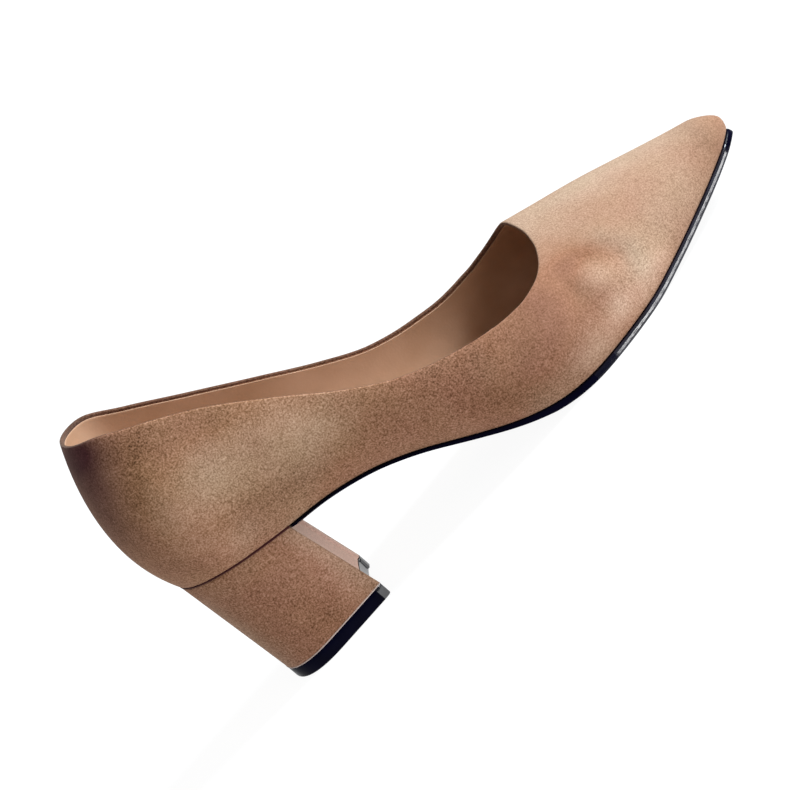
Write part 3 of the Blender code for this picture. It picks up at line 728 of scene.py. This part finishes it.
# The rubber shines along the sole's edge, less where it is scuffed, and most at the lacquered front of
# the top piece. The treads are as dull as they were moulded.
EDGE_RUBBER = black_rubber(
    "black_rubber_inked_and_polished", ior=1.68, specular=0.5, roughness=(0.1, 0.24), wave=9.0, stipple=2.5,
)
WORN_RUBBER = black_rubber(
    "black_rubber_half_polished", ior=1.5, specular=0.25, roughness=(0.14, 0.28), wave=9.0, stipple=2.5,
)
TREAD_RUBBER = black_rubber(
    "black_rubber_as_moulded", ior=1.5, specular=0.2, roughness=(0.35, 0.5), wave=1.0, stipple=0.8,
)
LIFT_RUBBER = black_rubber(
    "black_rubber_cut_and_buffed", ior=1.5, specular=0.03, roughness=(0.22, 0.34), wave=1.0, stipple=0.8,
)
FRONT_RUBBER = black_rubber(
    "black_rubber_lacquered", ior=2.0, specular=0.5, roughness=(0.1, 0.2), wave=0.5, stipple=0.8,
)


# Meshes

def in_metres(points):
    return (np.asarray(points, float) - [LENGTH / 2, 0.0, 0.0]) * MM


def in_millimetres(points):
    return np.asarray(points, float) / MM + [LENGTH / 2, 0.0, 0.0]


def finish_piece(name, bm, finishes, sharp=40.0):
    """Makes the bmesh one smooth object with its materials, and keeps the strokes on its points."""
    bmesh.ops.remove_doubles(bm, verts=bm.verts, dist=MERGE_DISTANCE)
    bmesh.ops.dissolve_degenerate(bm, edges=bm.edges, dist=SHORTEST_EDGE)
    bmesh.ops.recalc_face_normals(bm, faces=bm.faces)
    mesh = bpy.data.meshes.new(name)
    bm.to_mesh(mesh)
    bm.free()
    mesh.shade_smooth()
    mesh.set_sharp_from_angle(angle=math.radians(sharp))
    for finish in finishes:
        mesh.materials.append(finish)
    places = in_millimetres([v.co for v in mesh.vertices])
    # The strokes of the nap with its painted shading, the grain, the painted light and shade, and the olive
    # dye
    for attribute, table in (("nap", NAP_TONE_AND_PAINTED_SHADING), ("grain", GRAIN), ("painted_light_and_shade", PAINTED_LIGHT_AND_SHADE), ("olive", OLIVE)):
        values = mesh.attributes.new(attribute, "FLOAT", "POINT").data
        values.foreach_set("value", strokes_at(places, table))
    piece = bpy.data.objects.new(name, mesh)
    bpy.context.scene.collection.objects.link(piece)
    return piece


def add_rings(bm, rings, finish_of_band=None, closed=False):
    """Joins rings of equal count into bands of faces. Closed joins the last to the first."""
    made = [[bm.verts.new(p) for p in in_metres(ring)] for ring in rings]
    pairs = list(zip(made, made[1:])) + ([(made[-1], made[0])] if closed else [])
    for band, (below, above) in enumerate(pairs):
        for k in range(len(below)):
            n = (k + 1) % len(below)
            face = bm.faces.new((below[k], below[n], above[n], above[k]))
            face.material_index = finish_of_band(band, k) if finish_of_band else 0
    return made


def add_cap(bm, ring, rungs, finish=0):
    """Closes a ring with rungs between its two sides, and one face over what is left."""
    for k in range(rungs):
        corners = [ring[k], ring[k + 1], ring[-k - 1], ring[-k]]
        bm.faces.new(list(dict.fromkeys(corners))).material_index = finish
    rest = ring[rungs : len(ring) - rungs + 1]
    if len(rest) > 2:
        bm.faces.new(rest).material_index = finish


# The upper and its lining

@functools.lru_cache(maxsize=None)
def upper_rows():
    """Rings of the outside of the upper, from the margin under the last to the mouth."""
    feather = ring_at_share(0.0)
    first_share = np.minimum(FEATHER_LIMIT, FEATHER_ROUND / last_size("swell_rise", STATIONS))
    shares = [first_share + (1 - first_share) * row / SWELL_ROWS for row in range(SWELL_ROWS + 1)]
    swell = [ring_at_share(share) for share in shares]
    rows = [turned_under(feather, reach) for reach in MARGIN_REACHES]
    under = rows[-1]
    for step in range(1, ROUND_STEPS):
        t = step / ROUND_STEPS
        rows.append(under * (1 - t) ** 2 + feather * 2 * t * (1 - t) + swell[0] * t**2)
    rows += swell
    rows += [wall_ring(row) for row in range(1, WALL_ROWS + 1)]
    return np.array(rows)


def rim_rows(rows, normals, outer, inner, steps):
    """A half round over the top edge of a wall that lies between two depths under the surface."""
    upward = rows[-1] - rows[-3]
    upward -= normals[-1] * np.sum(upward * normals[-1], axis=1, keepdims=True)
    upward /= np.linalg.norm(upward, axis=1, keepdims=True)
    radius = (inner - outer) / 2
    centre = rows[-1] - normals[-1] * (outer + radius) - upward * radius
    turns = [math.pi * step / steps for step in range(steps + 1)]
    return [centre + radius * (math.cos(t) * normals[-1] + math.sin(t) * upward) for t in turns]


def below_rim(rows, depth):
    """The rings pressed down until the top one lies at a depth under the mouth."""
    steps = np.linalg.norm(np.diff(rows, axis=0), axis=2)
    lengths = np.concatenate([np.zeros((1, rows.shape[1])), np.cumsum(steps, axis=0)])
    lowered = np.empty_like(rows)
    for k in range(rows.shape[1]):
        total = lengths[-1, k]
        kept = lengths[:, k] * (total - depth) / total
        for axis in range(3):
            lowered[:, k, axis] = np.interp(kept, lengths[:, k], rows[:, k, axis])
    return lowered


def build_upper():
    rows = upper_rows()
    outside = below_rim(rows[FIRST_SWELL_ROW:], SUEDE_WALL / 2)
    outside = np.concatenate([rows[:FIRST_SWELL_ROW], outside])
    normals = grid_normals(outside)
    rim = rim_rows(rows, grid_normals(rows), 0.0, SUEDE_WALL, UPPER_RIM_STEPS)
    relief = strokes_at(outside, RELIEF)[..., None]
    inside = (outside - normals * SUEDE_WALL)[::-1]
    rings = [*(outside + normals * relief)[:-1], *rim, *inside[1::2], inside[-1]]
    rim_start = len(outside) - 1
    # Past its outer bands the folded edge takes the suede painted dark, a painted shade of the rolled edge
    folded = range(rim_start + RIM_OUTER_BANDS, rim_start + UPPER_RIM_STEPS + 1)
    bm = bmesh.new()
    add_rings(bm, rings, lambda band, k: int(band in folded), closed=True)
    return finish_piece("suede_upper", bm, [SUEDE, FOLD_SUEDE_PAINTED_SHADE], sharp=60.0)


def build_lining():
    rows = below_rim(upper_rows()[FIRST_SWELL_ROW + 1 :], LINING_DROP)
    normals = grid_normals(rows)
    depth_out, depth_in = SUEDE_WALL + LINING_CLEARANCE, WALL + LINING_EXTRA
    rim = rim_rows(rows, normals, depth_out, depth_in, LINING_RIM_STEPS)
    outside = rows - normals * depth_out
    inside = (rows - normals * depth_in)[::-1]
    bm = bmesh.new()
    add_rings(bm, [*outside[:-1], *rim, *inside[1:]], closed=True)
    return finish_piece("upper_lining", bm, [LINING])


# The bottom

def build_sock():
    """The insole with its sock: the edge meets the lining and is rolled down a little."""
    normals = grid_normals(upper_rows())[FIRST_SWELL_ROW + 1]
    edge_share = (SOCK_TOP - SOCK_ROLL) / last_size("swell_rise", STATIONS)
    edge = ring_at_share(edge_share) - normals * (WALL + SOCK_CLEARANCE)
    base = offset_in_plan(ring_at_share(0.0), -SOCK_BASE_INSET)
    base[:, 2] = bottom_heights(base[:, 0], SOCK_FLOOR)
    rings = [base]
    middle = middle_y(RING_STATIONS)
    for share in SOCK_SHARES:
        ring = np.array(edge)
        ring[:, 1] = middle + (edge[:, 1] - middle) * share
        ring[:, 0] = LENGTH / 2 + (edge[:, 0] - LENGTH / 2) * (1 - (1 - share) * SOCK_SHORTENING)
        ring[:, 2] = bottom_heights(ring[:, 0], SOCK_TOP - SOCK_ROLL * share**SOCK_ROLL_POWER)
        rings.append(ring)
    bm = bmesh.new()
    made = add_rings(bm, rings)
    add_cap(bm, made[0], len(STATIONS) - 1)
    add_cap(bm, made[-1], len(STATIONS) - 1)
    return finish_piece("sock", bm, [SOCK])


def breast_curve(front, half_lateral, half_medial, step):
    """(x, y) points across the front of the heel, from its medial to its lateral corner."""
    width = half_lateral + half_medial
    middle = (half_medial - half_lateral) / 2
    border = BREAST_BORDER / width * 2
    crease = BREAST_CREASE / width * 2
    inside = [1 - border - crease * share for share in CREASE_SHARES]
    shares = [1.0, 1 - border / 3, 1 - border * 2 / 3, *inside]
    shares += list(np.linspace(inside[-1], 0.0, BREAST_POINTS)[1:])
    shares += [-share for share in shares[-2::-1]]
    points = []
    for share in shares:
        into = np.clip((1 - border - abs(share)) / crease, 0.0, 1.0)
        sunk = step * (into + CREASE_DEPTH * np.exp(-(((into - 0.5) / CREASE_SPREAD) ** 2)))
        x = front - BREAST_HOLLOW * (1 - share**2) - sunk
        points.append((x, middle + share * width / 2))
    return points


def sole_outline():
    """The outsole's edge from above, with the station of each point and the count of rungs."""
    feather = ring_at_share(0.0)
    edge = offset_in_plan(feather, SOLE_EDGE)
    breast_x, _, end_z = swell_point(BREAST_STATION, LATERAL, 0.0)
    breast_lean = (HEEL_BASE_FRONT - breast_x) / (end_z - TOP_PIECE_THICK)
    end_x = breast_x + GAP + breast_lean * float(last_size("sole", BREAST_STATION))
    kept = [k for k in range(len(STATIONS)) if STATIONS[k] > end_x + REAR_CLEARANCE]
    lateral, medial = edge[kept], edge[[-k if k else 0 for k in kept]]
    corners = [abs(float(half_section(BREAST_STATION, side)[0])) for side in SIDES]
    curve = breast_curve(end_x, *corners, 0.0)[::-1]
    curve = [(end_x, curve[0][1] - SOLE_EDGE), *curve, (end_x, curve[-1][1] + SOLE_EDGE)]
    rear = np.array([(x, y, end_z) for x, y in curve])
    outline = np.concatenate([lateral, rear, medial[:0:-1]])
    kept_stations = STATIONS[kept]
    stations = np.concatenate([kept_stations, np.full(len(rear), BREAST_STATION), kept_stations[:0:-1]])
    return outline, stations, len(kept) - 1


def build_outsole():
    outline, stations, rungs = sole_outline()
    top = bottom_heights(outline[:, 0], 0.0) - GAP
    thick = last_size("sole", stations)
    pared = np.clip((WAIST_END - stations) / (WAIST_END - BREAST_STATION), 0.0, 1.0) ** WAIST_POWER
    rear = stations == BREAST_STATION
    pared[rear] *= np.linspace(-1.0, 1.0, rear.sum()) ** REAR_POWER
    left = 1 - (1 - WAIST_EDGE) * pared
    rings = [inset_ring(outline, inset, top - thick * drop * left) for inset, drop in SOLE_EDGE_PROFILE]
    tread_inset = SOLE_EDGE_PROFILE[-1][0] + TREAD_INSET + WAIST_PARED * pared
    rings.append(inset_ring(outline, tread_inset[:, None], top - thick))
    finish = np.take(EDGE_FINISHES, np.searchsorted(EDGE_WEAR, stations))
    bm = bmesh.new()
    made = add_rings(bm, rings, lambda band, k: int(finish[k]))
    add_cap(bm, made[0], rungs)
    add_cap(bm, made[-1], rungs, MOULDED)
    finishes = [EDGE_RUBBER, TREAD_RUBBER, LIFT_RUBBER, WORN_RUBBER]
    return finish_piece("rubber_outsole", bm, finishes, sharp=50.0)


# The heel

def heel_runs():
    """Shares from the back of the heel, 0, to its front corner, 1."""
    return 1 - np.cos(np.pi / 2 * np.arange(HEEL_RUN_COLUMNS + 1) / HEEL_RUN_COLUMNS)


def close_heel_ring(medial, breast, lateral):
    """Back, medial side, breast, lateral side, as one ring with its breast corners rounded."""
    medial_run = medial[:-CORNER_SIDE_COLUMNS]
    lateral_run = lateral[:0:-1][CORNER_SIDE_COLUMNS:]
    breast = np.array(breast)
    run = np.concatenate([medial_run, rounded(medial, breast)])
    back = rounded(lateral, breast[::-1])[::-1]
    kept = breast[CORNER_BREAST_COLUMNS:-CORNER_BREAST_COLUMNS]
    return np.concatenate([run, kept, back, lateral_run])


def rounded(side, breast):
    """The corner between a heel side and the breast, as a round that is longer on the side."""
    corner = side[-1]
    before = side[-1 - CORNER_SIDE_COLUMNS] - corner
    after = breast[CORNER_BREAST_COLUMNS] - corner
    start = corner + before * BREAST_CORNER_SIDE / np.linalg.norm(before)
    end = corner + after * BREAST_CORNER_FRONT / np.linalg.norm(after)
    steps = np.linspace(0.0, 1.0, CORNER_POINTS)[:, None]
    return start * (1 - steps) ** 2 + corner * 2 * steps * (1 - steps) + end * steps**2


def heel_seat_ring():
    """The top of the heel: the feather edge of the seat, closed by the breast."""
    runs = BREAST_STATION * heel_runs()
    lateral, medial = (swell_point(runs, side, 0.0) - [0, 0, GAP] for side in SIDES)
    curve = breast_curve(lateral[-1][0], -lateral[-1][1], medial[-1][1], BREAST_STEP)
    breast = [(x, y, float(bottom_z(x)) - GAP) for x, y in curve]
    return close_heel_ring(medial, breast, lateral)


def heel_base_ring(z):
    """The base of the heel, level, at height z."""
    length = HEEL_BASE_FRONT - HEEL_BASE_BACK
    share = heel_runs()
    width = HEEL_BASE_HALF_WIDTH * round_end(share * length / HEEL_BASE_ROUND, HEEL_BASE_POWER)
    x, level = HEEL_BASE_BACK + share * length, np.full(len(share), z)
    lateral, medial = (np.stack([x, side * width, level], axis=1) for side in SIDES)
    half = HEEL_BASE_HALF_WIDTH
    breast = [(x, y, z) for x, y in breast_curve(HEEL_BASE_FRONT, half, half, BREAST_STEP)]
    return close_heel_ring(medial, breast, lateral)


def heel_rungs():
    """Rungs of the heel's caps, which stop behind the hollow of the breast."""
    behind = heel_runs() * BREAST_STATION < BREAST_STATION - BREAST_HOLLOW - CAP_CLEARANCE
    return int(behind.sum()) - 1


def panel_columns():
    """Which columns of a heel ring lie on the breast, between its two rounded corners."""
    first = len(heel_runs()) - CORNER_SIDE_COLUMNS + CORNER_POINTS
    points = len(breast_curve(0.0, 1.0, 1.0, 0.0)) - 2 * CORNER_BREAST_COLUMNS
    return range(first - 1, first + points)


def build_heel():
    seat = heel_seat_ring()
    base = heel_base_ring(TOP_PIECE_THICK + GAP)
    climb = np.linalg.norm(seat - base, axis=1)[:, None]
    up = (seat - base) / climb
    turns = np.linspace(0.0, math.pi / 2, HEEL_EDGE_STEPS + 1)
    rings = []
    for turn in turns[:-1]:
        ring = offset_in_plan(base, -HEEL_BASE_EDGE * (1 - math.sin(turn)))
        rings.append(ring + up * HEEL_BASE_EDGE * (1 - math.cos(turn)))
    low, high = HEEL_BASE_EDGE / climb, 1 - HEEL_SEAT_EDGE / climb
    for level in np.linspace(0.0, 1.0, HEEL_LEVELS):
        rings.append(base + (seat - base) * (low + (high - low) * level))
    for turn in turns[1:]:
        ring = offset_in_plan(seat, -HEEL_SEAT_EDGE * (1 - math.cos(turn)))
        rings.append(ring - up * HEEL_SEAT_EDGE * (1 - math.sin(turn)))
    panel = panel_columns()
    bm = bmesh.new()
    # The breast panel takes the suede painted pale, a painted light
    made = add_rings(bm, rings, lambda band, k: int(k in panel))
    add_cap(bm, made[0], heel_rungs())
    add_cap(bm, made[-1], heel_rungs())
    return finish_piece("heel_cover", bm, [SUEDE, PALE_BREAST_PANEL_PAINTED_LIGHT])


def build_top_piece():
    outline = heel_base_ring(0.0)
    rings = []
    for turn in np.linspace(0.0, math.pi / 2, LIFT_EDGE_STEPS + 1):
        inset = TOP_PIECE_ROUND * (1 - math.sin(turn))
        rings.append(inset_ring(outline, inset, TOP_PIECE_ROUND * (1 - math.cos(turn))))
    rings += [inset_ring(outline, inset, TOP_PIECE_THICK - drop) for inset, drop in TOP_PIECE_SHOULDER]
    panel = panel_columns()
    lacquered = CORNER_POINTS - LACQUER_STOP
    front = range(panel.start - lacquered, panel.stop + lacquered)
    bm = bmesh.new()
    made = add_rings(bm, rings, lambda band, k: LIFT_FRONT if k in front else LIFT_SIDE)
    add_cap(bm, made[0], heel_rungs(), LIFT_TREAD)
    add_cap(bm, made[-1], heel_rungs())
    return finish_piece("rubber_top_piece", bm, [LIFT_RUBBER, TREAD_RUBBER, FRONT_RUBBER])


# Beads

def bead_tree():
    """Geometry nodes that lay a round bead along a path of edges."""
    tree = bpy.data.node_groups.new("bead_along_a_path", "GeometryNodeTree")
    inputs = {"Path": "Geometry", "Radius": "Float", "Sides": "Int", "Finish": "Material"}
    for name, kind in inputs.items():
        tree.interface.new_socket(name, in_out="INPUT", socket_type="NodeSocket" + kind)
    tree.interface.new_socket("Bead", in_out="OUTPUT", socket_type="NodeSocketGeometry")
    given = add_node(tree, "NodeGroupInput").outputs
    path = add_node(tree, "GeometryNodeMeshToCurve", {"Mesh": given["Path"]}).outputs["Curve"]
    section = {"Resolution": given["Sides"], "Radius": given["Radius"]}
    circle = add_node(tree, "GeometryNodeCurvePrimitiveCircle", section).outputs["Curve"]
    sweep = {"Curve": path, "Profile Curve": circle, "Fill Caps": True}
    bead = add_node(tree, "GeometryNodeCurveToMesh", sweep).outputs["Mesh"]
    real = add_node(tree, "GeometryNodeRealizeInstances", {"Geometry": bead}).outputs["Geometry"]
    finished = add_node(tree, "GeometryNodeSetMaterial", {"Geometry": real, "Material": given["Finish"]})
    add_node(tree, "NodeGroupOutput", {"Bead": finished.outputs["Geometry"]})
    return tree


BEAD_TREE = bead_tree()


def lay_bead(name, points, radius, finish):
    """A bead along points, as a plain mesh."""
    edges = [(k, k + 1) for k in range(len(points) - 1)]
    path_mesh = bpy.data.meshes.new(name + "_path")
    path_mesh.from_pydata(in_metres(points).tolist(), edges, [])
    path = bpy.data.objects.new(name + "_path", path_mesh)
    bpy.context.scene.collection.objects.link(path)
    nodes = path.modifiers.new("bead", "NODES")
    nodes.node_group = BEAD_TREE
    values = {"Radius": radius * MM, "Sides": BEAD_SIDES, "Finish": finish}
    for socket in BEAD_TREE.interface.items_tree:
        if socket.name in values:
            nodes[socket.identifier] = values[socket.name]
    evaluated = path.evaluated_get(bpy.context.evaluated_depsgraph_get())
    mesh = bpy.data.meshes.new_from_object(evaluated)
    bpy.data.objects.remove(path)
    bm = bmesh.new()
    bm.from_mesh(mesh)
    bpy.data.meshes.remove(mesh)
    return finish_piece(name, bm, [finish], sharp=60.0)


def lay_seat_shadow_bead():
    """A dark bead in the seam between the heel and the upper, round the seat: a painted shadow of the gap
    there.
    """
    runs = BREAST_STATION * heel_runs()
    lateral, medial = (swell_point(runs, side, 0.0) for side in SIDES)
    ring = np.concatenate([lateral[::-1], medial[1:]])
    middle = np.array([HEEL_ROUND, 0.0, 0.0])
    way = (middle - ring) * [1, 1, 0]
    way /= np.linalg.norm(way, axis=1, keepdims=True)
    path = ring + way * SEAM_INSET - [0, 0, SEAM_DROP]
    return lay_bead("painted_shadow_of_heel_seat", path, SEAM_RADIUS, SEAM_PAINTED_SHADOW)


def lay_cover_highlight_bead():
    """A pale bead along the cut edge of the heel's cover, above the top piece except at the breast: a
    painted highlight where that edge catches the light.
    """
    ring = offset_in_plan(heel_base_ring(TOP_PIECE_THICK + 0.5 * GAP), -HIGHLIGHT_BEAD_INSET)
    panel = panel_columns()
    path = np.concatenate([ring[panel.stop :], ring[: panel.start]])
    return lay_bead("painted_highlight_on_heel_cover", path, HIGHLIGHT_BEAD_RADIUS, PALE_EDGE_PAINTED_HIGHLIGHT)


PIECES = (
    (build_upper(), "upper", "suede"),
    (build_lining(), None, "lining"),
    (build_sock(), "insole", "lining"),
    (build_outsole(), "outsole", "sole_rubber"),
    (build_heel(), "heel", "suede"),
    (build_top_piece(), "top_piece", "sole_rubber"),
    (lay_seat_shadow_bead(), None, "suede"),
    (lay_cover_highlight_bead(), None, "suede"),
)
for piece, node, slot in PIECES:
    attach(piece, "root")
    if node:
        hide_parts(node)


# The studio, in metres

def from_direction(azimuth, elevation):
    """The unit vector towards a place round the shoe. Azimuth 0 is the lateral side."""
    a, e = math.radians(azimuth), math.radians(elevation)
    return Vector((math.sin(a) * math.cos(e), -math.cos(a) * math.cos(e), math.sin(e)))


def add_light(lamp, azimuth, elevation, distance=0.0):
    """Puts a lamp at a distance from the shoe, so that it shines from this direction."""
    holder = bpy.data.objects.new(lamp.name, lamp)
    way = from_direction(azimuth, elevation)
    holder.location = way * distance
    holder.rotation_mode = "QUATERNION"
    holder.rotation_quaternion = way.to_track_quat("Z", "Y")
    bpy.context.scene.collection.objects.link(holder)


FLOOR_HALF = 12.0
FLOOR_CORNERS = ((-1, -1), (1, -1), (1, 1), (-1, 1))
WORLD_STRENGTH = 0.08
floor_mesh = bpy.data.meshes.new("studio_floor")
corners = [(x * FLOOR_HALF, y * FLOOR_HALF, 0) for x, y in FLOOR_CORNERS]
floor_mesh.from_pydata(corners, [], [(0, 1, 2, 3)])
# White acrylic lit from below, as on a light table, so that shadows on it stay pale
light_table, _, _ = new_material(
    "white_acrylic_light_table", Base_Color=linear("666666"), Roughness=0.9, Specular_IOR_Level=0.0,
    Emission_Color=linear("ffffff"), Emission_Strength=0.94,
)
floor_mesh.materials.append(light_table)
floor = bpy.data.objects.new("studio_floor", floor_mesh)
bpy.context.scene.collection.objects.link(floor)

world = bpy.data.worlds.new("studio")
world.use_nodes = True
background = world.node_tree.nodes["Background"].inputs
background["Color"].default_value = linear("ffffff")
background["Strength"].default_value = WORLD_STRENGTH
bpy.context.scene.world = world
bpy.context.scene.view_settings.view_transform = "Standard"

# The key stands on the toe side. The top light is very wide, so that it only softens the shadow.
# Each has a name, azimuth, elevation, strength, spread in degrees and colour.
SUNS = (
    ("key_light", 85.0, 35.0, 7.0, 20.0, "ecf7ff"),
    ("top_light", 0.0, 89.0, 0.7, 130.0, "ffffff"),
)
for name, azimuth, elevation, strength, spread, colour in SUNS:
    lamp = bpy.data.lights.new(name, "SUN")
    lamp.energy, lamp.angle, lamp.color = strength, math.radians(spread), linear(colour)[:3]
    add_light(lamp, azimuth, elevation)

# A low softbox on the toe side of the camera, which the polished edge of the sole mirrors
SOFTBOX_AZIMUTH, SOFTBOX_ELEVATION, SOFTBOX_DISTANCE = 41.0, 12.0, 1.5
SOFTBOX_WIDTH, SOFTBOX_HEIGHT = 1.1, 0.2
SOFTBOX_POWER = 7.5
softbox = bpy.data.lights.new("softbox", "AREA")
softbox.shape = "RECTANGLE"
softbox.size, softbox.size_y, softbox.energy = SOFTBOX_WIDTH, SOFTBOX_HEIGHT, SOFTBOX_POWER
add_light(softbox, SOFTBOX_AZIMUTH, SOFTBOX_ELEVATION, SOFTBOX_DISTANCE)

# The camera stands on the lateral side, a little above the shoe, and is rolled so that the toe
# points up to the right
CAMERA_AZIMUTH, CAMERA_ELEVATION, CAMERA_ROLL = -0.04, 14.95, 48.62
CAMERA_DISTANCE = 1.2
CAMERA_FROM = Vector((0.0, 0.0, 0.05))
CAMERA_AIM = Vector((-0.0229, -0.0022, 0.0419))
FRAME_WIDTH = 0.28  # what the picture spans at the shoe
SENSOR_WIDTH = 36.0
CLIP_START, CLIP_END = 0.05, 60.0
camera_data = bpy.data.cameras.new("camera")
camera_data.sensor_width = SENSOR_WIDTH
camera_data.lens = SENSOR_WIDTH * CAMERA_DISTANCE / FRAME_WIDTH
camera_data.clip_start, camera_data.clip_end = CLIP_START, CLIP_END
camera = bpy.data.objects.new("camera", camera_data)
camera.location = CAMERA_FROM + from_direction(CAMERA_AZIMUTH, CAMERA_ELEVATION) * CAMERA_DISTANCE
camera.rotation_mode = "QUATERNION"
upright = (camera.location - CAMERA_AIM).normalized().to_track_quat("Z", "Y")
roll = Matrix.Rotation(math.radians(-CAMERA_ROLL), 3, "Z").to_quaternion()
camera.rotation_quaternion = upright @ roll
bpy.context.scene.collection.objects.link(camera)
bpy.context.scene.camera = camera
